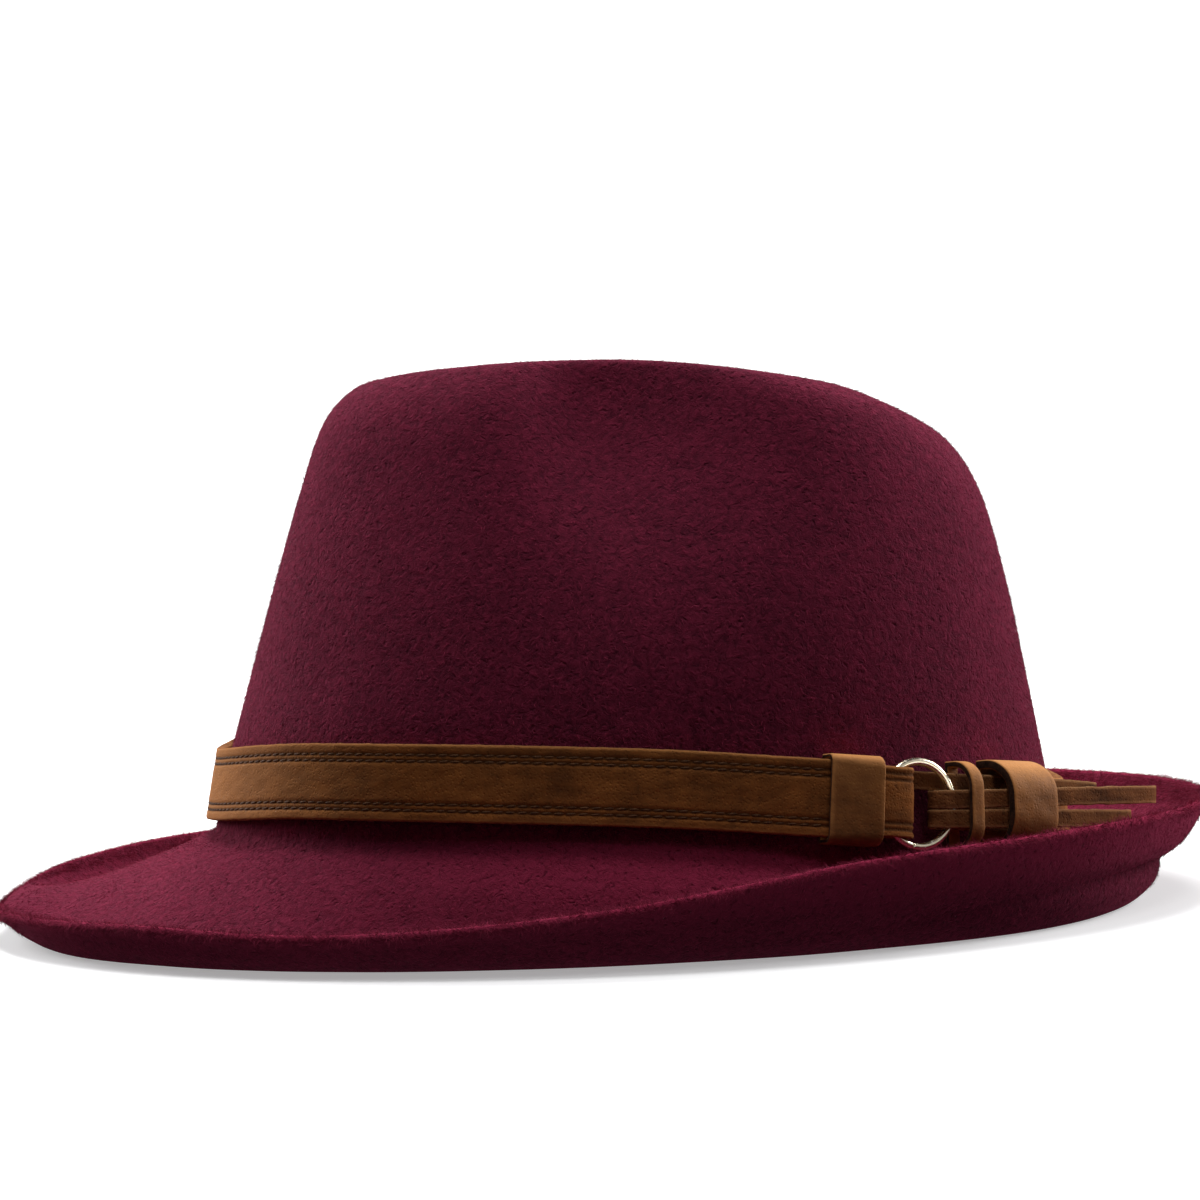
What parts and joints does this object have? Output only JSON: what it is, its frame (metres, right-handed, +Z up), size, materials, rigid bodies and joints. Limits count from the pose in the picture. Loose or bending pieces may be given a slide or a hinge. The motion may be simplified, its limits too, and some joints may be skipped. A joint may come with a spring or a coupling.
{
  "type": "fedora",
  "caption": "Felt fedora with a pinched teardrop crown, a brim turned up at the rear, and a leather belt joined by a ring with folded tails.",
  "frame": {"origin": "middle of the hat's length and width on the plane that its brim rests on", "axes": "+X from the front of the hat to its rear, +Y to the wearer's right, +Z up"},
  "size_m": [0.2931, 0.2414, 0.1321],
  "materials": {
    "felt": "brushed wool felt, dark burgundy, with a short nap",
    "belt_leather": "rubbed brown suede-like leather, darker at the edges, sewn with brown thread",
    "keeper_leather": "waxed tan leather with dark cut edges",
    "ring_metal": "polished pale gold plating",
    "thread": "waxed dark brown sewing thread"
  },
  "bodies": {
    "root": {"felt_body": "felt", "belt": "belt_leather", "ring": "ring_metal", "wide_keeper": "keeper_leather", "narrow_loop": "keeper_leather", "tail_keeper": "keeper_leather", "upper_tail": "belt_leather", "middle_tail": "belt_leather", "lower_tail": "belt_leather"}
  },
  "joints": []
}
